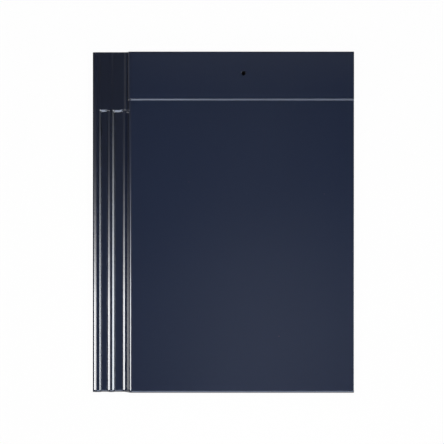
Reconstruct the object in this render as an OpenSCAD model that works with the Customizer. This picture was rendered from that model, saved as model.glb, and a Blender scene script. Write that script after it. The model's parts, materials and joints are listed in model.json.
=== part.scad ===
// Flat interlocking roof tile, pressed and fired as one piece.
// X runs across the tile from the side lock to the cover flap, Y from the tail to the head, Z up.
// The tile lies level on its tail lip and its two nibs, with the glazed face up.

/* [Overall] */
// Width over the side lock and the cover flap
tile_w = 310.5; // [280:0.5:340]
// Length from the tail nose to the head edge
tile_l = 405; // [360:1:440]

/* [Field and head] */
// Thickness of the field over the underside pockets
field_t = 12; // [9:0.5:14]
// Radius of the field's long left edge
field_edge_r = 2.8; // [0.8:0.1:3]
// Radius of the nose along the tail
nose_r = 3; // [1:0.25:5]
// Length of the raised head zone
head_l = 58.3; // [48:0.1:66]
// Rise of the head zone above the field
head_rise = 1.5; // [0.8:0.1:2.5]
// Run of the slope between the field and the head zone
step_run = 2.4; // [1.5:0.1:5]
// Radius of the head edge
head_edge_r = 2; // [0.8:0.1:3]

/* [Side lock] */
// Drop from the field's face to the tops of the lock ribs
lock_drop = 8.8; // [6:0.1:10]
// Depth of the water channels below the rib tops
channel_depth = 2; // [1.9:0.1:3]
// Thickness under the channel floors
lock_floor_t = 9.2; // [8:0.1:12]
// Width of the outer rib's top, from the tile's left side
outer_rib_w = 8.4; // [7.5:0.1:10]
// Run of the outer rib's slope to the tile's left side
outer_slope_run = 2.7; // [2:0.1:3.2]
// Drop of that slope
outer_slope_drop = 2.5; // [1.5:0.1:2.8]
// Width of the outer channel's floor
outer_channel_w = 6.9; // [4.4:0.1:8]
// Width of the middle rib's top
middle_rib_w = 5.2; // [4:0.1:8]
// Width of the inner channel's floor
inner_channel_w = 11.8; // [9:0.1:13]
// Run of a rib's flank from its top to the channel floor
flank_run = 2; // [1.8:0.1:3.2]
// Run of the wall from the inner channel's floor up to the field
wall_run = 6.6; // [6:0.1:9]
// Radius of the middle rib's crown
crown_r = 5.1; // [3:0.1:8]
// Radius of the outer rib's crown towards the tile's left side
outer_crown_r = 6.5; // [3:0.1:8]
// Radius of the outer rib's shoulder towards the outer channel
shoulder_r = 3; // [1:0.1:5]
// Radius at the feet of the ribs
rib_foot_r = 0.3; // [0.2:0.1:1.2]
// Radius of the ribs' ends at the tail
rib_end_r = 1.8; // [0.8:0.1:1.8]
// Radius at the foot of the field's wall
wall_foot_r = 5.3; // [2:0.1:6]
// Distance from the head edge to the closed ends of the channels
channel_end = 67.8; // [67:0.2:80]
// Run of the ramp that closes each channel
ramp_run = 5; // [2:0.1:8]
// Depth of the plain lock plate below the rib tops, above the channels' ends
plate_drop = 0.2; // [0.2:0.1:1.2]

/* [Cover flap] */
// Gap between the flap's edge and the next tile's field
joint_gap = 3; // [2:0.1:5]
// Height of the flap above the next tile's ribs and channel floors
seat_gap = 0.8; // [0.4:0.1:1.5]
// Sideways gap between the flap's ribs and the next tile's ribs
rib_gap = 0.8; // [0.4:0.1:1.2]
// Gap between the deep part of this tile and the next tile's side
side_gap = 1.5; // [0.8:0.1:3]
// Height of the upright land on the flap's edge
edge_land = 2; // [1.4:0.1:3]
// Radius of the flap's top edge
flap_edge_r = 0.7; // [0.5:0.1:1.3]

/* [Underside] */
// Depth of the nibs and the tail lip below the bearing plane
nib_h = 10; // [8:0.5:14]
// Width of a nib
nib_w = 40; // [30:1:48]
// Depth of a nib along the tile, at its root
nib_d = 13; // [11:0.5:16]
// Thickness of the tail lip at its root
lip_t = 12; // [10:0.5:16]
// Lean of the nib and lip faces over their depth
draft = 1.2; // [0.5:0.1:1.5]
// Columns of pockets across the field
pocket_columns = 4; // [3:1:5]
// Rows of pockets along the field
pocket_rows = 3; // [2:1:4]
// Width of the stiffening ribs between the pockets
stiffener_w = 10; // [8:0.5:12]
// Lean of a pocket's sides over its depth
pocket_draft = 2.5; // [1:0.1:3]
// Radius round a pocket's roof
pocket_r = 3; // [1:0.1:4]

/* [Nail hole] */
// Diameter of the nail hole
nail_d = 4.6; // [4:0.1:6]
// Distance of the nail hole from the head edge
nail_from_head = 25.9; // [22:0.1:30]
// Distance of the nail hole from the cover flap's edge
nail_from_edge = 131; // [120:0.5:140]
// Width of the softened rim beyond the hole's wall
nail_rim = 1.2; // [0.8:0.1:2]

/* [Hidden] */

// Angle between neighbouring points of a rounded corner
arc_step = 11.25;
// Depth by which a piece reaches into its neighbour, and a cutter past a face
bite = 1;
// Radius of the small softened corners on the underside
soft_r = 1.2;
// Radius where the outer rib's slope meets the tile's left side
side_r = 0.4;
glaze = [0.12, 0.145, 0.21];

// Heights above the surface that the tile lies on
bearing_z = nib_h;
channel_z = bearing_z + lock_floor_t;
rib_z = channel_z + channel_depth;
field_z = rib_z + lock_drop;
head_z = field_z + head_rise;
plate_z = rib_z - plate_drop;
pocket_z = field_z - field_t;
flap_z = rib_z + seat_gap;
flap_rib_z = channel_z + seat_gap;

// Places across the side lock, from the tile's left side to the field
outer_channel_a = outer_rib_w + flank_run;
outer_channel_b = outer_channel_a + outer_channel_w;
middle_rib_a = outer_channel_b + flank_run;
middle_rib_b = middle_rib_a + middle_rib_w;
inner_channel_a = middle_rib_b + flank_run;
inner_channel_b = inner_channel_a + inner_channel_w;
field_x = inner_channel_b + wall_run;

// Crown radii, limited so that a rib's two shoulders leave a strip of top between them
flank_tilt = max(45, atan(channel_depth / flank_run));
function fitting_r(r, reach, tilt) = min(r, reach / tan(tilt / 2));
outer_top_w = outer_rib_w - outer_slope_run;
outer_slope_l = norm([outer_slope_run, outer_slope_drop]);
outer_tilt = atan(outer_slope_drop / outer_slope_run);
middle_fit_r = fitting_r(crown_r, 0.45 * middle_rib_w, flank_tilt);
shoulder_fit_r = fitting_r(shoulder_r, 0.35 * outer_top_w, flank_tilt);
outer_fit_r = fitting_r(outer_crown_r, min(0.55 * outer_top_w, 0.85 * outer_slope_l), outer_tilt);

// The flap covers the next tile's lock, so its left side lies one cover width along
flap_w = field_x - joint_gap;
flap_x = tile_w - flap_w;
slab_x = flap_x - side_gap;

// Places along the tile, from the tail
step_y = tile_l - head_l;
ramp_y = tile_l - channel_end;
flap_rib_end = ramp_y - ramp_run - 2 * side_gap;
nib_y = tile_l - nib_d;
nail_x = tile_w - nail_from_edge;
nail_y = tile_l - nail_from_head;

// Pockets lie between the lock's wall and the slab's right side, and between the lip and the nibs
pocket_x0 = field_x + soft_r;
pocket_pitch_x = (slab_x - pocket_x0) / pocket_columns;
pocket_w = pocket_pitch_x - stiffener_w;
pocket_pitch_y = (nib_y - lip_t + stiffener_w) / pocket_rows;
pocket_l = pocket_pitch_y - stiffener_w;

// Slope of the field's wall, and its place at a given height
wall_slope = wall_run / (field_z - channel_z);
function wall_x(z) = inner_channel_b + (z - channel_z) * wall_slope;
// Place of the flap's splayed edge at a given height, below its upright land
function splay_x(z, top) = tile_w - (top - edge_land - z) * wall_slope;

// Outline with rounded corners, from a list of [x, y, radius]
function unit(v) = v / norm(v);
function turn(angle) = angle > 180 ? angle - 360 : angle < -180 ? angle + 360 : angle;
function arc(before, at, after, r) =
    let (u = unit(before - at),
         v = unit(after - at),
         half = acos(u * v) / 2,
         centre = at + unit(u + v) * r / sin(half),
         from = at + u * r / tan(half) - centre,
         to = at + v * r / tan(half) - centre,
         start = atan2(from[1], from[0]),
         sweep = turn(atan2(to[1], to[0]) - start),
         steps = max(2, ceil(abs(sweep) / arc_step)))
    [for (i = [0:steps]) centre + r * [cos(start + sweep * i / steps), sin(start + sweep * i / steps)]];
function flat(corner) = [corner[0], corner[1]];
function rounded(corners) =
    let (n = len(corners))
    [for (i = [0:n - 1])
        each corners[i][2] > 0
            ? arc(flat(corners[(i + n - 1) % n]), flat(corners[i]), flat(corners[(i + 1) % n]), corners[i][2])
            : [flat(corners[i])]];

// Cross-section outline in X and Z: the top face of the lock, right to left
lock_top = [
    [inner_channel_b, channel_z, wall_foot_r],
    [inner_channel_a, channel_z, rib_foot_r],
    [middle_rib_b, rib_z, middle_fit_r],
    [middle_rib_a, rib_z, middle_fit_r],
    [outer_channel_b, channel_z, rib_foot_r],
    [outer_channel_a, channel_z, rib_foot_r],
    [outer_rib_w, rib_z, shoulder_fit_r],
    [outer_slope_run, rib_z, outer_fit_r],
    [0, rib_z - outer_slope_drop, side_r]];

// Underside of the flap, left to right: a roof over each rib and a rib in each channel of the next tile
function flap_under(top) = [
    [slab_x, flap_z, soft_r],
    [flap_x + outer_rib_w + rib_gap, flap_z, soft_r],
    [flap_x + outer_channel_a + rib_gap, flap_rib_z, soft_r],
    [flap_x + outer_channel_b - rib_gap, flap_rib_z, soft_r],
    [flap_x + middle_rib_a - rib_gap, flap_z, soft_r],
    [flap_x + middle_rib_b + rib_gap, flap_z, soft_r],
    [flap_x + inner_channel_a + rib_gap, flap_rib_z, soft_r],
    [splay_x(flap_rib_z, top), flap_rib_z, soft_r],
    [tile_w, top - edge_land, 0]];

// Whole cross-section with its face at a given height
function section(top) = concat(
    [[0, bearing_z, soft_r], [slab_x, bearing_z, soft_r]],
    flap_under(top),
    [[tile_w, top, flap_edge_r], [wall_x(top), top, field_edge_r]],
    lock_top);

// Extrudes an outline in X and Z along the tile
module along(corners, y0, y1)
    translate([0, y1, 0])
        rotate([90, 0, 0])
            linear_extrude(height = y1 - y0)
                polygon(rounded(corners));

// Extrudes an outline in Y and Z across the tile
module across(corners, x0, x1)
    translate([x0, 0, 0])
        rotate([90, 0, 90])
            linear_extrude(height = x1 - x0)
                polygon(rounded(corners));

// Plain plate that closes the channels towards the head, with a ramp into each channel
module lock_plate()
    across([
        [ramp_y - ramp_run - bite, channel_z - bite, 0],
        [tile_l, channel_z - bite, 0],
        [tile_l, plate_z, 0],
        [ramp_y, plate_z, ramp_run / 4],
        [ramp_y - ramp_run, channel_z, 0],
        [ramp_y - ramp_run - bite, channel_z - bite / 2, 0]],
        outer_rib_w / 2, wall_x(plate_z) + bite);

// Raised head zone, with the slope that meets the field
module head_zone()
    intersection() {
        along(section(head_z), step_y, tile_l);
        across([
            [step_y - bite, 0, 0],
            [tile_l + bite, 0, 0],
            [tile_l + bite, head_z + bite, 0],
            [step_y + step_run, head_z + bite, 0],
            [step_y + step_run, head_z, 0],
            [step_y, field_z, 0],
            [step_y - bite, field_z, 0]],
            -bite, tile_w + bite);
    }

// Lip that stands under the tail and carries the tile on the course below
module tail_lip()
    across([
        [draft, 0, soft_r],
        [lip_t - draft, 0, soft_r],
        [lip_t, bearing_z + bite, 0],
        [0, bearing_z + bite, 0]],
        0, slab_x);

// Nib that hooks over the batten, with its hooking face upright
module nib(x)
    intersection() {
        across([
            [nib_y, 0, soft_r],
            [tile_l - draft, 0, soft_r],
            [tile_l, bearing_z + bite, 0],
            [nib_y, bearing_z + bite, 0]],
            x - nib_w / 2, x + nib_w / 2);
        along([
            [x - nib_w / 2 + draft, 0, soft_r],
            [x + nib_w / 2 - draft, 0, soft_r],
            [x + nib_w / 2, bearing_z + bite, 0],
            [x - nib_w / 2, bearing_z + bite, 0]],
            nib_y - bite, tile_l + bite);
    }

// Pocket pressed into the underside, with leaning sides and a rounded roof
module pocket(x, y)
    intersection() {
        along([
            [x, bearing_z - bite, 0],
            [x + pocket_w, bearing_z - bite, 0],
            [x + pocket_w - pocket_draft, pocket_z, pocket_r],
            [x + pocket_draft, pocket_z, pocket_r]],
            y, y + pocket_l);
        across([
            [y, bearing_z - bite, 0],
            [y + pocket_l, bearing_z - bite, 0],
            [y + pocket_l - pocket_draft, pocket_z, pocket_r],
            [y + pocket_draft, pocket_z, pocket_r]],
            x, x + pocket_w);
    }

// Relief under the flap at the head, where the next tile's lock is a plain plate
module flap_relief()
    across([
        [flap_rib_end - channel_depth, flap_rib_z - bite, 0],
        [tile_l + bite, flap_rib_z - bite, 0],
        [tile_l + bite, flap_z + plate_drop / 2, 0],
        [flap_rib_end, flap_z + plate_drop / 2, soft_r]],
        slab_x + soft_r / 4, tile_w + bite);

// Cutter that rounds the top edge of an upright end between two places across the tile
module edge_cut(y, z, r, inward, x0, x1)
    across([
        [y - inward * bite, z - r, 0],
        [y, z - r, 0],
        [y, z, r],
        [y + inward * r, z, 0],
        [y + inward * r, z + bite, 0],
        [y - inward * bite, z + bite, 0]],
        x0, x1);

// Nail hole through the head, with a softened rim
module nail_hole()
    translate([nail_x, nail_y, 0]) {
        cylinder(d = nail_d, h = head_z + bite, $fn = 48);
        translate([0, 0, head_z - nail_rim])
            cylinder(d1 = nail_d, d2 = nail_d + 4 * nail_rim, h = 2 * nail_rim, $fn = 48);
    }

module roof_tile()
    color(glaze)
        translate([-tile_w / 2, -tile_l / 2, 0])
            difference() {
                union() {
                    along(section(field_z), 0, step_y);
                    head_zone();
                    lock_plate();
                    tail_lip();
                    for (i = [1, pocket_columns - 1])
                        nib(pocket_x0 + i * pocket_pitch_x - stiffener_w / 2);
                }
                for (i = [0:pocket_columns - 1], j = [0:pocket_rows - 1])
                    pocket(pocket_x0 + i * pocket_pitch_x, lip_t + j * pocket_pitch_y);
                flap_relief();
                edge_cut(0, field_z, nose_r, 1, inner_channel_b, tile_w + bite);
                edge_cut(0, rib_z, rib_end_r, 1, -bite, inner_channel_a);
                edge_cut(tile_l, head_z, head_edge_r, -1, inner_channel_b, tile_w + bite);
                nail_hole();
            }

roof_tile();
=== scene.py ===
import bmesh
import bpy
import json
import math
from collections import namedtuple
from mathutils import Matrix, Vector


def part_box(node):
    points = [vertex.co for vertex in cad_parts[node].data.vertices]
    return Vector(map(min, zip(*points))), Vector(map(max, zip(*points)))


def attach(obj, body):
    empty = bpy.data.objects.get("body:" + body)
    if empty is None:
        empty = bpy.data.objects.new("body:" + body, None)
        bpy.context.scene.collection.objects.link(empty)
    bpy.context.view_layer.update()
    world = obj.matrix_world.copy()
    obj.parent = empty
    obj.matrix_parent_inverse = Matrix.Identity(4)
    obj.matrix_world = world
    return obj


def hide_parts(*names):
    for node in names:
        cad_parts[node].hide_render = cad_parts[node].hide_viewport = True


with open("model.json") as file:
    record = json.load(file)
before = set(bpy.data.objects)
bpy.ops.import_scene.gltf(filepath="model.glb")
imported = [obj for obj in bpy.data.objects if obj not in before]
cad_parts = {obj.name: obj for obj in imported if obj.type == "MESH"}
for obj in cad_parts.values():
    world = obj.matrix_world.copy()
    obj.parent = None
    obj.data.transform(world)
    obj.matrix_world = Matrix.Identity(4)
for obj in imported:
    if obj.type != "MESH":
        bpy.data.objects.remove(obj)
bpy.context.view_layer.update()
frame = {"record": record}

# Sizes in millimetres: x from the lock's outer side, y from the tail, z from the floor
METRE = 1000
tile_low, tile_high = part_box("roof_tile")
TILE_W = (tile_high.x - tile_low.x) * METRE
TILE_L = (tile_high.y - tile_low.y) * METRE
HEAD_Z = (tile_high.z - tile_low.z) * METRE

# Face: a flat field, and a head that stands above it behind a short step
FIELD_T = 12.0
FIELD_EDGE_R = 2.8
NOSE_R = 3.0
HEAD_L = 58.3
HEAD_RISE = 1.5
STEP_RUN = 2.4
HEAD_EDGE_R = 2.0

# Side lock: outer rib, outer channel, middle rib, inner channel, and the wall that rises to the field
LOCK_DROP = 8.8
CHANNEL_DEPTH = 2.0
OUTER_RIB_W = 8.4
OUTER_SLOPE_RUN = 2.7
OUTER_SLOPE_DROP = 2.5
OUTER_CHANNEL_W = 6.9
MIDDLE_RIB_W = 5.2
INNER_CHANNEL_W = 11.8
FLANK_RUN = 2.0
WALL_RUN = 6.6
SIDE_R = 0.4
OUTER_CROWN_R = 6.8
SHOULDER_R = 2.5
CROWN_R = 5.1
RIB_FOOT_R = 0.2
WALL_FOOT_R = 5.3
MOUTH_DROP = 5.0

# Finer form of the lock: how far its corners stand off the plain ones, and the brow and dish of the wall
SIDE_LIFT = 0.14
OUTER_CROWN_SHIFT = 0.15
SHOULDER_SHIFT = 0.45
OUTER_FOOT_SHIFT = 0.15
LEFT_FLANK_SHIFT = 0.2
LEFT_CROWN_R = 5.6
WALL_FOOT_SHIFT = 0.6
DISH_IN = 3.7
DISH_DROP = 6.8
DISH_R = 10.0
BROW_IN = 1.14
BROW_DROP = 1.48
BROW_R = 2.0
FIELD_EDGE_SHIFT = 0.56

# Points on the channel floors between which the ramps bend, measured from each channel's left side
OUTER_FLOOR = (5.4, 3.45, 1.8)
INNER_FLOOR = (7.5, 5.5, 3.5, 1.5)

# Head end of the lock: ramps close the channels before a plain plate, and the wall beside it is steeper
CHANNEL_END = 67.8
RAMP_RUN = 5.0
RAMP_TAPER = 2.0
RAMP_FILLET = 0.4
PLATE_DROP = 0.2
PLATE_FILLET = 1.6
PLATE_FILLET_W = 3.5
PLATE_EDGE_R = 0.5
HEAD_LEAN = 0.8

# Cover flap, with gaps to the next tile's lock
JOINT_GAP = 3.0
SEAT_GAP = 0.8
RIB_GAP = 0.8
SIDE_GAP = 1.5
EDGE_LAND = 2.0
LAND_R = 0.8
FLAP_EDGE_R = 0.5

# Relief of the flap's underside over that lock's plate: from below the down-ribs to above the grooves.
# The rounded foot of the splayed edge follows the edge's slope
RELIEF_START = 1.0
RELIEF_RISE = 0.4
SPLAY_CORNER = 2.0

# Underside: two nibs, a tail lip, and pockets between stiffening ribs
NIB_H = 10.0
NIB_W = 40.0
NIB_D = 13.0
LIP_T = 12.0
DRAFT = 1.2
POCKET_COLUMNS = 4
POCKET_ROWS = 3
STIFFENER_W = 10.0
POCKET_DRAFT = 2.5
POCKET_R = 2.2
SOFT_R = 1.2
EDGE_BEVEL = 0.6

# Nail hole from the record, with its place in metres about the tile's origin, and its softened rims
nail_mount = [m for m in frame["record"]["mounts"] if m["name"] == "nail_hole"][0]
NAIL_X, NAIL_Y = nail_mount["pos_m"][:2]
NAIL_R = nail_mount["dims"]["r_mm"]
NAIL_RIM = 0.45
NAIL_RIM_UNDER = 0.6

# Square patch round the nail hole: half its side in radii, and the cuts in each side that make the rim
NAIL_PATCH = 2.4
NAIL_CUTS = 11

# Limits that tell places, level faces and sharp edges apart
NEAR = 0.1
SAME_PLACE = 1e-3
CUT_DISTANCE = 1e-4
MERGE_DISTANCE = 0.004
LEVEL = 0.99
SHARP_ANGLE = math.radians(32)
SHORTEST_EDGE = 0.02

# Height above the flap's grooves where the face starts, and drop below the field where it is fully face
FACE_START = 0.6
FULL_FACE_DROP = 1.0

# Heights
FIELD_Z = HEAD_Z - HEAD_RISE
RIB_Z = FIELD_Z - LOCK_DROP
CHANNEL_Z = RIB_Z - CHANNEL_DEPTH
PLATE_Z = RIB_Z - PLATE_DROP
RAMP_FOOT_Z = CHANNEL_Z - RAMP_FILLET
BEARING_Z = NIB_H
POCKET_Z = FIELD_Z - FIELD_T
FLAP_Z = RIB_Z + SEAT_GAP
FLAP_RIB_Z = CHANNEL_Z + SEAT_GAP
RELIEF_LOW_Z = FLAP_RIB_Z - RELIEF_START
RELIEF_Z = FLAP_Z + RELIEF_RISE
FACE_Z = FLAP_Z + FACE_START
FULL_FACE_Z = FIELD_Z - FULL_FACE_DROP

# Places across the lock and the flap
OUTER_CHANNEL_A = OUTER_RIB_W + FLANK_RUN
OUTER_CHANNEL_B = OUTER_CHANNEL_A + OUTER_CHANNEL_W
MIDDLE_RIB_A = OUTER_CHANNEL_B + FLANK_RUN
MIDDLE_RIB_B = MIDDLE_RIB_A + MIDDLE_RIB_W
INNER_CHANNEL_A = MIDDLE_RIB_B + FLANK_RUN
INNER_CHANNEL_B = INNER_CHANNEL_A + INNER_CHANNEL_W
FIELD_X = INNER_CHANNEL_B + WALL_RUN
WALL_SLOPE = WALL_RUN / (FIELD_Z - CHANNEL_Z)
FLAP_X = TILE_W - (FIELD_X - JOINT_GAP)
SLAB_X = FLAP_X - SIDE_GAP
SPLAY_X = TILE_W - (FIELD_Z - EDGE_LAND - FLAP_RIB_Z) * WALL_SLOPE

# Places along the tile, and the pockets' grid
STEP_Y = TILE_L - HEAD_L
RAMP_Y = TILE_L - CHANNEL_END
FLAP_RIB_END = RAMP_Y - RAMP_RUN - 2 * SIDE_GAP
NIB_Y = TILE_L - NIB_D
POCKET_X0 = FIELD_X + SOFT_R
POCKET_PITCH_X = (SLAB_X - POCKET_X0) / POCKET_COLUMNS
POCKET_PITCH_Y = (NIB_Y - LIP_T + STIFFENER_W) / POCKET_ROWS
POCKET_W = POCKET_PITCH_X - STIFFENER_W
POCKET_L = POCKET_PITCH_Y - STIFFENER_W

# Closing ramps: start and end across the lock; run at the sides, bulge added to it in the middle and run at
# the right end, as shares of RAMP_RUN; place and slant of that end's turn towards the tail
Ramp = namedtuple("Ramp", "start end side_run bulge end_run turn_x slant")
OUTER_RAMP = Ramp(start=OUTER_RIB_W, end=OUTER_CHANNEL_B - 1, side_run=0.9, bulge=0.0, end_run=0.45,
                  turn_x=OUTER_CHANNEL_B - 0.5, slant=0.45)
INNER_RAMP = Ramp(start=MIDDLE_RIB_B, end=INNER_CHANNEL_B - 3, side_run=0.8, bulge=0.35, end_run=0.2,
                  turn_x=INNER_CHANNEL_B - 0.6, slant=0.84)

# Cross-section as x, z and corner radius: from the lock's foot along the underside, and back over the face
SECTION = [
    (0, BEARING_Z, 0),
    (SLAB_X, BEARING_Z, 0),
    (SLAB_X, FLAP_Z, SOFT_R),
    (FLAP_X + OUTER_RIB_W + RIB_GAP, FLAP_Z, SOFT_R),
    (FLAP_X + OUTER_CHANNEL_A + RIB_GAP, FLAP_RIB_Z, SOFT_R),
    (FLAP_X + OUTER_CHANNEL_B - RIB_GAP, FLAP_RIB_Z, SOFT_R),
    (FLAP_X + MIDDLE_RIB_A - RIB_GAP, FLAP_Z, SOFT_R),
    (FLAP_X + MIDDLE_RIB_B + RIB_GAP, FLAP_Z, SOFT_R),
    (FLAP_X + INNER_CHANNEL_A + RIB_GAP, FLAP_RIB_Z, SOFT_R),
    (SPLAY_X, FLAP_RIB_Z, SOFT_R),
    (TILE_W, FIELD_Z - EDGE_LAND, LAND_R),
    (TILE_W, FIELD_Z, FLAP_EDGE_R),
    (FIELD_X + FIELD_EDGE_SHIFT, FIELD_Z, FIELD_EDGE_R),
    (FIELD_X - BROW_IN, FIELD_Z - BROW_DROP, BROW_R),
    (FIELD_X - DISH_IN, FIELD_Z - DISH_DROP, DISH_R),
    (INNER_CHANNEL_B - WALL_FOOT_SHIFT, CHANNEL_Z, WALL_FOOT_R),
    *[(INNER_CHANNEL_A + d, CHANNEL_Z, 0) for d in INNER_FLOOR],
    (INNER_CHANNEL_A, CHANNEL_Z, RIB_FOOT_R),
    (MIDDLE_RIB_B, RIB_Z, CROWN_R),
    (MIDDLE_RIB_A - LEFT_FLANK_SHIFT, RIB_Z, LEFT_CROWN_R),
    (OUTER_CHANNEL_B - LEFT_FLANK_SHIFT, CHANNEL_Z, RIB_FOOT_R),
    *[(OUTER_CHANNEL_A + d, CHANNEL_Z, 0) for d in OUTER_FLOOR],
    (OUTER_CHANNEL_A + OUTER_FOOT_SHIFT, CHANNEL_Z, RIB_FOOT_R),
    (OUTER_RIB_W + SHOULDER_SHIFT, RIB_Z, SHOULDER_R),
    (OUTER_SLOPE_RUN - OUTER_CROWN_SHIFT, RIB_Z, OUTER_CROWN_R),
    (0, RIB_Z - OUTER_SLOPE_DROP + SIDE_LIFT, SIDE_R),
]


def clamped(t):
    """A value kept between 0 and 1."""
    return min(max(t, 0.0), 1.0)


def ease(t):
    """Soft step from 0 to 1."""
    t = clamped(t)
    return t * t * (3 - 2 * t)


def slope(t):
    """Straight slope from 0 to 1 with short roundings at both ends."""
    t = clamped(t)
    short = 0.25
    if t > 1 - short:
        return 1 - (1 - t) ** 2 / (2 * short * (1 - short))
    if t < short:
        return t * t / (2 * short * (1 - short))
    return (t - short / 2) / (1 - short)


def blended_top(a, b, k):
    """The higher of two heights, with a fillet about k wide where they meet."""
    h = max(k - abs(a - b), 0) / k
    return max(a, b) + h * h * k / 4


def round_drop(distance, run, drop):
    """How far a rounded end lies below the face at a distance from the end."""
    left = max(1 - distance / run, 0)
    return drop * (1 - math.sqrt(1 - left * left))


def under_flap(x, z, y):
    """A point of the flap's underside: the down-ribs end before the next tile's ramps."""
    relieved = ease((y - FLAP_RIB_END) / CHANNEL_DEPTH + 1)
    lifted = max(z, RELIEF_LOW_Z + (RELIEF_Z - RELIEF_LOW_Z) * relieved)
    if x > SPLAY_X - SPLAY_CORNER:
        x += (lifted - z) * WALL_SLOPE
    return Vector((x, y, lifted))


def closed_channel(x, z, y):
    """Height of a point of the lock once the ramps and the plate have closed the channels."""
    ramp = OUTER_RAMP if x < MIDDLE_RIB_A else INNER_RAMP
    across = (2 * x - ramp.start - ramp.end) / (ramp.end - ramp.start)
    full_run = ramp.side_run + ramp.bulge * max(1 - across ** 4, 0)
    at_end = ease((x - ramp.end) / RAMP_TAPER + 0.5)
    run = RAMP_RUN * (full_run + (ramp.end_run - full_run) * at_end)
    turned = ramp.slant * max(x - ramp.turn_x, 0)
    risen = slope((y - RAMP_Y + turned + run) / run)
    fillet = RAMP_FILLET
    if x >= INNER_CHANNEL_B - PLATE_FILLET_W:
        fillet += PLATE_FILLET * risen
    return blended_top(z, RAMP_FOOT_Z + (PLATE_Z - RAMP_FOOT_Z) * risen, fillet)


def in_length(x, z, y):
    """Where a point of the cross-section lies at a place along the tile."""
    if x > SLAB_X + NEAR and z < FACE_Z:
        return under_flap(x, z, y)
    if z < CHANNEL_Z - NEAR:
        return Vector((x, y, z))
    face = clamped((z - FACE_Z) / (FULL_FACE_Z - FACE_Z)) if x > INNER_CHANNEL_B else 0
    mouth = clamped((RIB_Z - z) / CHANNEL_DEPTH) if x > OUTER_RIB_W / 2 else 0
    tail_drop = NOSE_R + (MOUTH_DROP - NOSE_R) * mouth
    head_r = PLATE_EDGE_R + (HEAD_EDGE_R - PLATE_EDGE_R) * face
    if OUTER_RIB_W / 2 < x < FIELD_X:
        z = closed_channel(x, z, y)
    head = slope((y - STEP_Y) / STEP_RUN) * face
    if x < FIELD_X + FIELD_EDGE_R:
        x -= HEAD_LEAN * head
    z += HEAD_RISE * head - round_drop(y, NOSE_R, tail_drop) - round_drop(TILE_L - y, head_r, head_r)
    return Vector((x, y, z))


def spaced(start, end, steps):
    """Evenly spaced places from start to end."""
    return [start + (end - start) * i / steps for i in range(steps + 1)]


def end_rounding(radius, steps):
    """Distances from an end that divide its rounding evenly by angle."""
    return [radius * (1 - math.cos(math.pi / 2 * i / steps)) for i in range(steps + 1)]


def stations():
    """Places along the tile where the cross-section changes."""
    places = end_rounding(NOSE_R, steps=8)
    places += spaced(FLAP_RIB_END - CHANNEL_DEPTH, FLAP_RIB_END, steps=5)
    places += spaced(RAMP_Y - RAMP_RUN, RAMP_Y, steps=12)
    places += spaced(STEP_Y, STEP_Y + STEP_RUN, steps=12)
    places += [TILE_L - d for d in end_rounding(HEAD_EDGE_R, steps=5)]
    places += [TILE_L - d for d in end_rounding(PLATE_EDGE_R, steps=4)]
    return sorted(set(round(p, 4) for p in places))


def rounded_section(bm):
    """The cross-section at the tail as one face, with its corners rounded."""
    verts = [bm.verts.new((x, 0, z)) for x, z, r in SECTION]
    bm.faces.new(verts)
    count = len(SECTION)
    for i, (x, z, r) in enumerate(SECTION):
        if r == 0:
            continue
        here = Vector((x, z))
        before = (Vector(SECTION[i - 1][:2]) - here).normalized()
        after = (Vector(SECTION[(i + 1) % count][:2]) - here).normalized()
        reach = r / math.tan(before.angle(after) / 2)
        bmesh.ops.bevel(bm, geom=[verts[i]], offset=reach, offset_type="OFFSET", segments=8,
                        profile=0.5, affect="VERTICES", material=-1)
    return bm.faces[:][0]


def draw_body(bm):
    """Draws the section from the tail to the head and shapes it at every place on the way."""
    base_x = bm.verts.layers.float.new("base_x")
    base_z = bm.verts.layers.float.new("base_z")
    tail = rounded_section(bm)
    places = stations()
    for v in bm.verts:
        v[base_x] = v.co.x
        v[base_z] = v.co.z
        v.co = in_length(v[base_x], v[base_z], places[0])
    face = tail
    for y in places[1:]:
        made = bmesh.ops.extrude_face_region(bm, geom=[face])
        if face is not tail:
            bmesh.ops.delete(bm, geom=[face], context="FACES_ONLY")
        face = [f for f in made["geom"] if isinstance(f, bmesh.types.BMFace)][0]
        for v in face.verts:
            v.co = in_length(v[base_x], v[base_z], y)
    bmesh.ops.recalc_face_normals(bm, faces=bm.faces[:])
    bmesh.ops.dissolve_faces(bm, faces=underside(bm), use_verts=False)
    bm.normal_update()


def level_faces(bm, z, up):
    """Level faces at a height that look up (1) or down (-1)."""
    return [f for f in bm.faces
            if abs(f.calc_center_median().z - z) < SAME_PLACE and f.normal.z * up > LEVEL]


def underside(bm):
    """Faces of the plane that bears on the batten."""
    return level_faces(bm, BEARING_Z, -1)


def under_between(bm, y0, y1, x0=-math.inf, x1=math.inf):
    """Faces of that plane whose middle lies between these places."""
    return [f for f in underside(bm)
            if y0 < f.calc_center_bounds().y < y1 and x0 < f.calc_center_bounds().x < x1]


def once(items):
    """Each item once, in the order given."""
    return list(dict.fromkeys(items))


def cut(bm, faces, at, normal):
    """Cuts only these faces by a plane."""
    edges = once(e for f in faces for e in f.edges)
    verts = once(v for f in faces for v in f.verts)
    bmesh.ops.bisect_plane(bm, geom=faces + edges + verts, dist=CUT_DISTANCE, plane_co=at, plane_no=normal)
    bm.normal_update()


def cut_across(bm, faces, x):
    """Cuts these faces at a place across the tile."""
    cut(bm, faces, (x, 0, 0), (1, 0, 0))


def cut_along(bm, faces, y):
    """Cuts these faces at a place along the tile."""
    cut(bm, faces, (0, y, 0), (0, 1, 0))


def soften(bm, edges, width, segments, clamp=False):
    """Rounds edges."""
    bmesh.ops.bevel(bm, geom=edges, offset=width, offset_type="OFFSET", segments=segments, profile=0.5,
                    affect="EDGES", material=-1, clamp_overlap=clamp)
    bm.normal_update()


def climb(edge):
    """Difference in height between the ends of an edge."""
    return abs(edge.verts[0].co.z - edge.verts[1].co.z)


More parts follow.
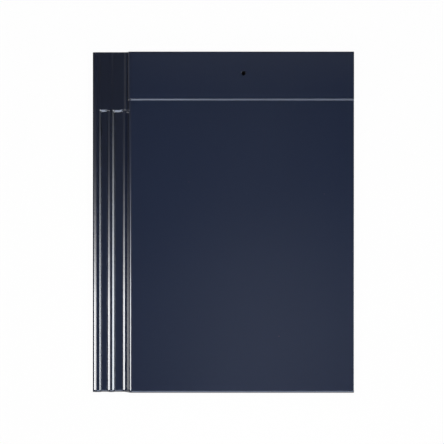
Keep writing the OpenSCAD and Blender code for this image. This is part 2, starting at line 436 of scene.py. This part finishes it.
def stand_out(bm, faces, shape):
    """Draws faces of the underside down to the floor and shapes the new feet."""
    made = bmesh.ops.extrude_face_region(bm, geom=faces)
    bmesh.ops.delete(bm, geom=faces, context="FACES")
    feet = [v for v in made["geom"] if isinstance(v, bmesh.types.BMVert)]
    bmesh.ops.translate(bm, verts=feet, vec=(0, 0, -NIB_H))
    for v in feet:
        shape(v)
    bm.normal_update()


def lip_and_nibs(bm):
    """Divides the underside and draws out the tail lip and the two nibs."""
    cut_along(bm, underside(bm), LIP_T)
    cut_along(bm, underside(bm), NIB_Y)
    nibs = [POCKET_X0 + i * POCKET_PITCH_X - STIFFENER_W / 2 for i in (1, POCKET_COLUMNS - 1)]
    for x in nibs:
        for side in (-0.5, 0.5):
            cut_across(bm, under_between(bm, NIB_Y, TILE_L), x + side * NIB_W)

    def lip_foot(v):
        """Leans the lip's two faces inwards."""
        v.co.y = DRAFT if v.co.y < LIP_T / 2 else LIP_T - DRAFT

    stand_out(bm, under_between(bm, 0, LIP_T), lip_foot)
    for x in nibs:
        def nib_foot(v):
            """Leans a nib's sides and its face at the head inwards."""
            v.co.x += DRAFT if v.co.x < x else -DRAFT
            if v.co.y > NIB_Y + NIB_D / 2:
                v.co.y -= DRAFT

        stand_out(bm, under_between(bm, NIB_Y, TILE_L, x - NIB_W / 2, x + NIB_W / 2), nib_foot)


def press_pockets(bm):
    """Presses the pockets into the underside, with leaning sides."""
    rows = [LIP_T + j * POCKET_PITCH_Y for j in range(POCKET_ROWS)]
    columns = [POCKET_X0 + i * POCKET_PITCH_X for i in range(POCKET_COLUMNS)]
    for y in rows:
        if y != rows[0]:
            cut_along(bm, under_between(bm, LIP_T, NIB_Y), y)
        if y != rows[-1]:
            cut_along(bm, under_between(bm, LIP_T, NIB_Y), y + POCKET_L)
        for x in columns:
            cut_across(bm, under_between(bm, y, y + POCKET_L), x)
            cut_across(bm, under_between(bm, y, y + POCKET_L), x + POCKET_W)
    pockets = []
    for y in rows:
        for x in columns:
            pockets += under_between(bm, y, y + POCKET_L, x, x + POCKET_W)
    bmesh.ops.inset_individual(bm, faces=pockets, thickness=POCKET_DRAFT, depth=BEARING_Z - POCKET_Z,
                               use_even_offset=True)
    bm.normal_update()
    roofs = level_faces(bm, POCKET_Z, -1)
    rims = [e for f in roofs for e in f.edges]
    corners = [e for f in roofs for v in f.verts for e in v.link_edges if climb(e) > NEAR]
    soften(bm, once(rims + corners), POCKET_R, segments=5, clamp=True)


def round_opening(bm, at, z, up):
    """Opens the round nail hole in the level face over or under a point, and gives its rim."""
    def patch():
        """Level faces that the point lies in."""
        return [f for f in level_faces(bm, z, up)
                if min(v.co.x for v in f.verts) < at.x < max(v.co.x for v in f.verts)
                and min(v.co.y for v in f.verts) < at.y < max(v.co.y for v in f.verts)]

    for side in (-NAIL_PATCH * NAIL_R, NAIL_PATCH * NAIL_R):
        cut_across(bm, patch(), at.x + side)
        cut_along(bm, patch(), at.y + side)
    bmesh.ops.subdivide_edges(bm, edges=patch()[0].edges[:], cuts=NAIL_CUTS)
    opening = patch()[0]
    rim = opening.edges[:]
    for v in opening.verts:
        out = Vector((v.co.x - at.x, v.co.y - at.y, 0)).normalized()
        v.co = Vector((at.x, at.y, v.co.z)) + out * NAIL_R
    bmesh.ops.delete(bm, geom=[opening], context="FACES_ONLY")
    return rim


def nail_hole(bm):
    """Bridges a round hole through the head and softens its rims."""
    at = Vector((NAIL_X * METRE + TILE_W / 2, NAIL_Y * METRE + TILE_L / 2, 0))
    top = round_opening(bm, at, HEAD_Z, 1)
    bottom = round_opening(bm, at, POCKET_Z, -1)
    bmesh.ops.bridge_loops(bm, edges=top + bottom)
    bm.normal_update()

    def on_bore(v):
        """Whether a corner lies on the hole's wall."""
        return abs((v.co.xy - at.xy).length - NAIL_R) < SAME_PLACE

    rims = [e for e in bm.edges if all(on_bore(v) for v in e.verts) and climb(e) < SAME_PLACE]
    middle = (HEAD_Z + POCKET_Z) / 2
    upper = [e for e in rims if e.verts[0].co.z > middle]
    lower = [e for e in rims if e.verts[0].co.z < middle]
    soften(bm, upper, NAIL_RIM, segments=5)
    soften(bm, lower, NAIL_RIM_UNDER, segments=5)


def placed(name, bm):
    """Makes an object of a finished bmesh and puts it in the scene."""
    mesh = bpy.data.meshes.new(name)
    bm.to_mesh(mesh)
    bm.free()
    made = bpy.data.objects.new(name, mesh)
    bpy.context.scene.collection.objects.link(made)
    return made


def model_tile():
    """The whole tile as one closed piece, in metres about its own origin."""
    bm = bmesh.new()
    draw_body(bm)
    lip_and_nibs(bm)
    press_pockets(bm)
    nail_hole(bm)
    sharp = [e for e in bm.edges if e.is_manifold and e.calc_face_angle(0) > SHARP_ANGLE
             and e.calc_length() > SHORTEST_EDGE]
    soften(bm, sharp, EDGE_BEVEL, segments=3, clamp=True)
    bmesh.ops.remove_doubles(bm, verts=bm.verts[:], dist=MERGE_DISTANCE)
    bmesh.ops.translate(bm, verts=bm.verts[:], vec=(-TILE_W / 2, -TILE_L / 2, 0))
    bmesh.ops.scale(bm, verts=bm.verts[:], vec=(1 / METRE, 1 / METRE, 1 / METRE))
    bmesh.ops.recalc_face_normals(bm, faces=bm.faces[:])
    for f in bm.faces:
        f.smooth = True
    made = placed("glazed_tile", bm)
    even = made.modifiers.new("even_normals", "WEIGHTED_NORMAL")
    even.weight = 60
    return made


class Value:
    """A socket of a node tree: sums on it add Math nodes."""

    def __init__(self, tree, socket):
        self.tree = tree
        self.socket = socket

    def math(self, operation, *terms):
        """One Math node on values and numbers."""
        return node(self.tree, "ShaderNodeMath", {"operation": operation}, dict(enumerate(terms)))

    def __add__(self, other):
        return self.math("ADD", self, other)

    def __radd__(self, other):
        return self.math("ADD", other, self)

    def __sub__(self, other):
        return self.math("SUBTRACT", self, other)

    def __rsub__(self, other):
        return self.math("SUBTRACT", other, self)

    def __mul__(self, other):
        return self.math("MULTIPLY", self, other)

    def __rmul__(self, other):
        return self.math("MULTIPLY", other, self)

    def __truediv__(self, other):
        return self.math("DIVIDE", self, other)

    def __pow__(self, other):
        return self.math("POWER", self, other)

    def __abs__(self):
        return self.math("ABSOLUTE", self)

    def most(self, other):
        """The greater of the two."""
        return self.math("MAXIMUM", self, other)

    def least(self, other):
        """The lesser of the two."""
        return self.math("MINIMUM", self, other)

    def step(self, start, end):
        """Soft step from 0 at start to 1 at end."""
        return node(self.tree, "ShaderNodeMapRange", {"interpolation_type": "SMOOTHSTEP"},
                    {"Value": self, "From Min": start, "From Max": end})


def node(tree, kind, settings=None, sockets=None, output=0):
    """Adds a node, sets it up, then fills or links its sockets, and gives one of its outputs."""
    made = tree.nodes.new(kind)
    for name, value in (settings or {}).items():
        setattr(made, name, value)
    for name, value in (sockets or {}).items():
        if isinstance(value, Value):
            tree.links.new(value.socket, made.inputs[name])
        else:
            made.inputs[name].default_value = value
    return Value(tree, made.outputs[output])


def mixed(tree, share, first, second):
    """Colour between two colours."""
    return node(tree, "ShaderNodeMix", {"data_type": "RGBA"}, {0: share, 6: first, 7: second}, 2)


def noise(tree, place, scale, detail=2.0, roughness=0.5):
    """Cloudy value round 0.5, in patches that shrink as the scale grows."""
    sockets = {"Vector": place, "Scale": scale, "Detail": detail, "Roughness": roughness}
    return node(tree, "ShaderNodeTexNoise", {}, sockets)


def parts(tree, vector):
    """The three values of a vector."""
    return [node(tree, "ShaderNodeSeparateXYZ", {}, {0: vector}, i) for i in range(3)]


# Colours of the glaze and clay, and of the painted shade and painted highlight laid on the glaze
DEEP_NAVY = (0.0120, 0.0190, 0.0440, 1)
PALE_NAVY = (0.0144, 0.0222, 0.0502, 1)
PAINTED_LOCK_SHADE = (0.0112, 0.0150, 0.0300, 1)
PAINTED_FOOT_HIGHLIGHT = (0.0290, 0.0330, 0.0470, 1)
THIN_GLAZE = (0.026, 0.024, 0.030, 1)
PAINTED_BORE_SHADE = (0.0020, 0.0020, 0.0025, 1)
DEEP_CLAY = (0.25, 0.085, 0.042, 1)
PALE_CLAY = (0.42, 0.165, 0.085, 1)
DARK_GRAIN = (0.09, 0.04, 0.026, 1)
PALE_GRAIN = (0.58, 0.36, 0.23, 1)

# Where the colour changes, in metres about the tile's origin: from none to full
# The lock's painted shade, across and along the tile
LOCK_SHADE_ACROSS = (-0.104, -0.122)
LOCK_SHADE_ALONG = (-0.1, 0.12)
# A painted highlight along the wall's foot at the head end
FOOT_HIGHLIGHT_LEFT = (-0.1186, -0.1176)
FOOT_HIGHLIGHT_RIGHT = (-0.1152, -0.1162)
FOOT_HIGHLIGHT_ALONG = (0.126, 0.136)
THIN_HEIGHT = (0.022, 0.026)

# Millimetres from the nail hole's middle between which painted shade darkens its wall
BORE_SHADE_EDGE = (NAIL_R + 0.3, NAIL_R + 0.05)

# Share of the lock's painted shade at the tail, share of the thin glaze's colour on steep faces, and the
# lean at which it shows, as 1 less the normal's height
LOCK_SHADE_AT_TAIL = 0.2
THIN_SHARE = 0.4
THIN_LEAN = (0.1, 0.6)

# Lowest place of the line that the glaze ran down to, how far the line waves, and its soft edge, in metres
RUN_LINE = 0.0125
RUN_WAVE = 0.006
RUN_EDGE = 0.0007

# Heights of the normal between which a face that looks down starts to take glaze
GLAZED_LEAN = (-0.35, -0.1)

# Relief in metres: fine and long waves of the glaze, its thickness, its pinholes, and the clay's grain
FINE_PEEL = 0.000014
LONG_PEEL = 0.00006
GLAZE_BUILD = 0.00004
PINHOLE_DEPTH = 0.00008
GRAIN_HEIGHT = 0.00006

# Roughness of the clay, how much smoother the glaze is, and what clouds and pinholes take from that
CLAY_ROUGHNESS = 0.82
GLAZE_POLISH = 0.77
CLOUD_ROUGHNESS = 0.03
PINHOLE_ROUGHNESS = 0.4

# Share of clay that shows in a pinhole, and the glaze's index of refraction
PINHOLE_CLAY = 0.3
GLAZE_IOR = 1.55


def glaze_colour(tree, x, y, z, facing_up, cloud):
    """Navy, paler where the glaze stands thin, with painted shade in the lock and nail hole and a painted
    highlight at the wall's foot.
    """
    navy = mixed(tree, cloud, DEEP_NAVY, PALE_NAVY)
    # Painted shade: the recessed lock is darkened, most towards the head
    lock_shade_along = LOCK_SHADE_AT_TAIL + (1 - LOCK_SHADE_AT_TAIL) * y.step(*LOCK_SHADE_ALONG)
    navy = mixed(tree, x.step(*LOCK_SHADE_ACROSS) * lock_shade_along, navy, PAINTED_LOCK_SHADE)
    # Painted highlight: a paler line along the wall's foot at the head end
    foot_highlight = x.step(*FOOT_HIGHLIGHT_LEFT) * x.step(*FOOT_HIGHLIGHT_RIGHT) * y.step(*FOOT_HIGHLIGHT_ALONG)
    navy = mixed(tree, foot_highlight, navy, PAINTED_FOOT_HIGHLIGHT)
    thin = (1 - facing_up).step(*THIN_LEAN) * z.step(*THIN_HEIGHT)
    navy = mixed(tree, THIN_SHARE * thin, navy, THIN_GLAZE)
    # Painted shade: the nail hole's wall is made nearly black
    from_hole = ((x - NAIL_X) ** 2 + (y - NAIL_Y) ** 2) ** 0.5
    bore_shade = (METRE * from_hole).step(*BORE_SHADE_EDGE)
    return mixed(tree, bore_shade, navy, PAINTED_BORE_SHADE)


def clay_colour(tree, place, grain):
    """Red-brown clay with dark and pale grains."""
    clay = mixed(tree, noise(tree, place, scale=14.0, detail=3.0), DEEP_CLAY, PALE_CLAY)
    dark_share = 0.55 * grain.step(0.56, 0.70)
    pale_share = 0.4 * grain.step(0.42, 0.30)
    clay = mixed(tree, dark_share, clay, DARK_GRAIN)
    return mixed(tree, pale_share, clay, PALE_GRAIN)


def pinholes(tree, place):
    """Small pits in the glaze, in the middle of about one cell in fifteen."""
    cells = {"Vector": place, "Scale": 75.0}
    from_middle = node(tree, "ShaderNodeTexVoronoi", {}, cells, "Distance")
    colour = node(tree, "ShaderNodeTexVoronoi", {}, cells, "Color")
    pick = node(tree, "ShaderNodeSeparateColor", {}, {0: colour})
    pit = from_middle.step(0.034, 0.018)
    has_pit = pick.step(0.93, 0.94)
    return pit * has_pit


def fired_glaze():
    """Navy gloss glaze that ran a little way down the sides of a red-brown clay tile."""
    material = bpy.data.materials.new("navy_glaze_on_clay")
    material.use_nodes = True
    tree = material.node_tree
    surface = tree.nodes["Principled BSDF"]
    place = node(tree, "ShaderNodeTexCoord", output="Object")
    x, y, z = parts(tree, place)
    facing_up = parts(tree, node(tree, "ShaderNodeTexCoord", output="Normal"))[2]

    # Glaze lies on what doesn't look down, as far as a wavy line on the sides
    run_line = RUN_LINE + RUN_WAVE * noise(tree, place, scale=28.0)
    glazed = facing_up.step(*GLAZED_LEAN) * (z - run_line).step(-RUN_EDGE, RUN_EDGE)
    cloud = noise(tree, place, scale=9.0, detail=3.0)
    grain = noise(tree, place, scale=420.0, detail=4.0, roughness=0.65)
    pinhole = pinholes(tree, place)

    navy = glaze_colour(tree, x, y, z, facing_up, cloud)
    clay = clay_colour(tree, place, grain)
    tint = mixed(tree, glazed * (1 - PINHOLE_CLAY * pinhole), clay, navy)
    polish = GLAZE_POLISH - CLOUD_ROUGHNESS * cloud - PINHOLE_ROUGHNESS * pinhole
    rough = CLAY_ROUGHNESS - glazed * polish
    fine_peel = FINE_PEEL * noise(tree, place, scale=330.0)
    long_peel = LONG_PEEL * noise(tree, place, scale=45.0, detail=1.0)
    glaze_relief = fine_peel + long_peel + GLAZE_BUILD - PINHOLE_DEPTH * pinhole
    relief = glazed * glaze_relief + (1 - glazed) * GRAIN_HEIGHT * grain
    bump = node(tree, "ShaderNodeBump", {}, {"Strength": 1.0, "Distance": 1.0, "Height": relief})
    tree.links.new(tint.socket, surface.inputs["Base Color"])
    tree.links.new(rough.socket, surface.inputs["Roughness"])
    tree.links.new(bump.socket, surface.inputs["Normal"])
    surface.inputs["IOR"].default_value = GLAZE_IOR
    return material


# Floor: its paint, the painted shade that darkens it under the tile, and the share of plain white that the
# camera sees in the open
PALE_PAINT = (0.9, 0.9, 0.9, 1)
PAINTED_SHADE_UNDER_TILE = (0.03, 0.03, 0.03, 1)
WHITE_SHARE = 0.98

# Metres out from the tile's outline between which the pale paint replaces the painted shade, and the white
# comes in
PAINTED_SHADE_EDGE = (-0.024, 0)
WHITE_EDGE = (-0.012, -0.002)


def white_floor():
    """Pale floor, white to the camera and in reflections, with painted shade making it dark under the tile.
    """
    material = bpy.data.materials.new("pale_floor")
    material.use_nodes = True
    tree = material.node_tree
    surface = tree.nodes["Principled BSDF"]
    surface.inputs["Roughness"].default_value = 0.9
    surface.inputs["Specular IOR Level"].default_value = 0.0
    camera_ray = node(tree, "ShaderNodeLightPath", output="Is Camera Ray")
    glossy_ray = node(tree, "ShaderNodeLightPath", output="Is Glossy Ray")
    through_ray = node(tree, "ShaderNodeLightPath", output="Is Transmission Ray")
    shown = camera_ray.most(glossy_ray).most(through_ray)
    x, y = parts(tree, node(tree, "ShaderNodeNewGeometry", output="Position"))[:2]
    reach = (abs(x) - TILE_W / 2 / METRE).most(abs(y) - TILE_L / 2 / METRE)
    # Painted shade: the floor's paint is nearly black under the tile and pale further out
    tint = mixed(tree, reach.step(*PAINTED_SHADE_EDGE), PAINTED_SHADE_UNDER_TILE, PALE_PAINT)
    tree.links.new(tint.socket, surface.inputs["Base Color"])
    paint = Value(tree, surface.outputs[0])
    white = node(tree, "ShaderNodeEmission", {}, {"Color": (1, 1, 1, 1), "Strength": 1.0})
    share = WHITE_SHARE * shown * reach.step(*WHITE_EDGE)
    joined = node(tree, "ShaderNodeMixShader", {}, {0: share, 1: paint, 2: white})
    tree.links.new(joined.socket, tree.nodes["Material Output"].inputs["Surface"])
    return material


def lay_floor():
    """Wide level floor under the tile."""
    bm = bmesh.new()
    bmesh.ops.create_grid(bm, x_segments=1, y_segments=1, size=6)
    floor = placed("floor", bm)
    floor.data.materials.append(white_floor())


def soft_light(name, at, aim, size, radiance, fade=None, diffuse=False, tint=(1, 1, 1)):
    """Area light that either lights the tile or only shines in its glaze, and may fade over its face."""
    lamp = bpy.data.lights.new(name, "AREA")
    lamp.shape = "RECTANGLE"
    lamp.size, lamp.size_y = size
    lamp.energy = radiance * math.pi * size[0] * size[1]
    lamp.color = tint
    if fade:
        lamp.use_nodes = True
        tree = lamp.node_tree
        x, y, z = parts(tree, node(tree, "ShaderNodeNewGeometry", output="Position"))
        tree.links.new(fade(x, y, z).socket, tree.nodes["Emission"].inputs["Strength"])
    light = bpy.data.objects.new(name, lamp)
    bpy.context.scene.collection.objects.link(light)
    light.location = at
    light.rotation_euler = (Vector(aim) - Vector(at)).to_track_quat("-Z", "Y").to_euler()
    light.visible_camera = False
    light.visible_diffuse = diffuse
    light.visible_glossy = not diffuse


def towards_head(y, power):
    """Share of a side card: full beside the tail, fading out towards the head."""
    fade_start = -0.16
    fade_length = 0.38
    left = 1 - (y - fade_start).least(fade_length).most(0) / fade_length
    return left ** power


def left_fade(x, y, z):
    """Left card: fades towards the head, dark at its foot, brightest above that and dimmer higher up."""
    faint = 0.013
    along = (1 - faint) * towards_head(y, power=3.0) + faint * y.step(0.28, 0.18)
    above_foot = z.step(0.66, 0.76)
    bright_band = 1.65 - 0.65 * z.step(0.85, 1.0)
    dim_top = 1 - 0.6 * z.step(1.3, 1.49)
    return along * (above_foot * bright_band * dim_top)


def right_fade(x, y, z):
    """Right card: fades towards the head, and dark at its foot."""
    faint = 0.05
    along = (1 - faint) * towards_head(y, power=1.65) + faint * y.step(0.32, 0.2)
    above_foot = z.step(0.52, 0.62)
    return along * above_foot


def tail_fade(x, y, z):
    """Tail card: a low band, brighter before the lock, and an even high band, with a dark gap between."""
    before_lock = x.step(0.04, -0.12)
    low_band = (0.48 + 0.26 * before_lock) * z.step(0.51, 0.46)
    high_band = 1.1 * z.step(0.66, 0.74)
    past_left_end = x.step(-0.5, -0.28)
    return past_left_end * (low_band + high_band)


# Glow overhead: its middle, a little towards the tail and the flap, its radius, and the strip's share of it
GLOW_X = 0.14
GLOW_Y = -0.376
GLOW_Z = 3.0
GLOW_R = 0.62
STRIP_SHARE = 0.6


def ceiling_glow(x, y, z):
    """Round glow overhead, and a strip of it behind the head."""
    from_middle = ((x - GLOW_X) ** 2 + (y - GLOW_Y) ** 2) ** 0.5
    strip = y.step(0.33, 0.55) * x.step(-0.33, -0.2)
    return 1 - from_middle.step(0, GLOW_R) + STRIP_SHARE * strip


def light_the_studio():
    """White surround, two lights on the tile, and cards and a glow that only shine in its glaze."""
    world = bpy.data.worlds.new("studio")
    bpy.context.scene.world = world
    world.use_nodes = True
    tree = world.node_tree
    background = tree.nodes["Background"]
    camera_ray = node(tree, "ShaderNodeLightPath", output="Is Camera Ray")
    dim = 0.1
    tree.links.new((dim + (1 - dim) * camera_ray).socket, background.inputs["Strength"])
    background.inputs["Color"].default_value = (1, 1, 1, 1)
    soft_light("overhead", at=(0.045, -0.19, 0.47), aim=(0.045, -0.19, 0), size=(0.2, 0.88),
               radiance=5.1, diffuse=True)
    soft_light("left_fill", at=(-1.2, 0.1, 0.5), aim=(-0.12, 0.1, 0.02), size=(0.8, 0.5),
               radiance=4.0, diffuse=True)
    soft_light("left_card", at=(-1.206, -0.05, 0.978), aim=(-0.135, -0.05, 0.03), size=(0.9, 1.364),
               radiance=16, fade=left_fade)
    soft_light("right_card", at=(0.936, -0.05, 0.978), aim=(-0.135, -0.05, 0.03), size=(0.9, 1.364),
               radiance=18, fade=right_fade, tint=(0.92, 0.97, 1))
    soft_light("tail_card", at=(0, -1.299, 0.78), aim=(0, 0, 0.03), size=(1.6, 1.092),
               radiance=6.5, fade=tail_fade, tint=(0.74, 0.83, 1))
    soft_light("glow", at=(GLOW_X, GLOW_Y, GLOW_Z), aim=(GLOW_X, GLOW_Y, 0), size=(2.4, 2.4),
               radiance=0.23, fade=ceiling_glow)


def place_camera():
    """Straight above the tile, with the head at the top of the frame."""
    middle_x = -0.0013
    middle_y = 0.0003
    above = 2.2
    view_w = 0.5265
    film_w = 36
    lens = bpy.data.cameras.new("camera")
    lens.sensor_width = film_w
    lens.lens = film_w * above / view_w
    lens.clip_end = 50
    camera = bpy.data.objects.new("camera", lens)
    bpy.context.scene.collection.objects.link(camera)
    camera.location = (middle_x, middle_y, FIELD_Z / METRE + above)
    bpy.context.scene.camera = camera


tile = model_tile()
tile.data.materials.append(fired_glaze())
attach(tile, "root")
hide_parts("roof_tile")

lay_floor()
light_the_studio()
place_camera()
bpy.context.scene.view_settings.view_transform = "Standard"
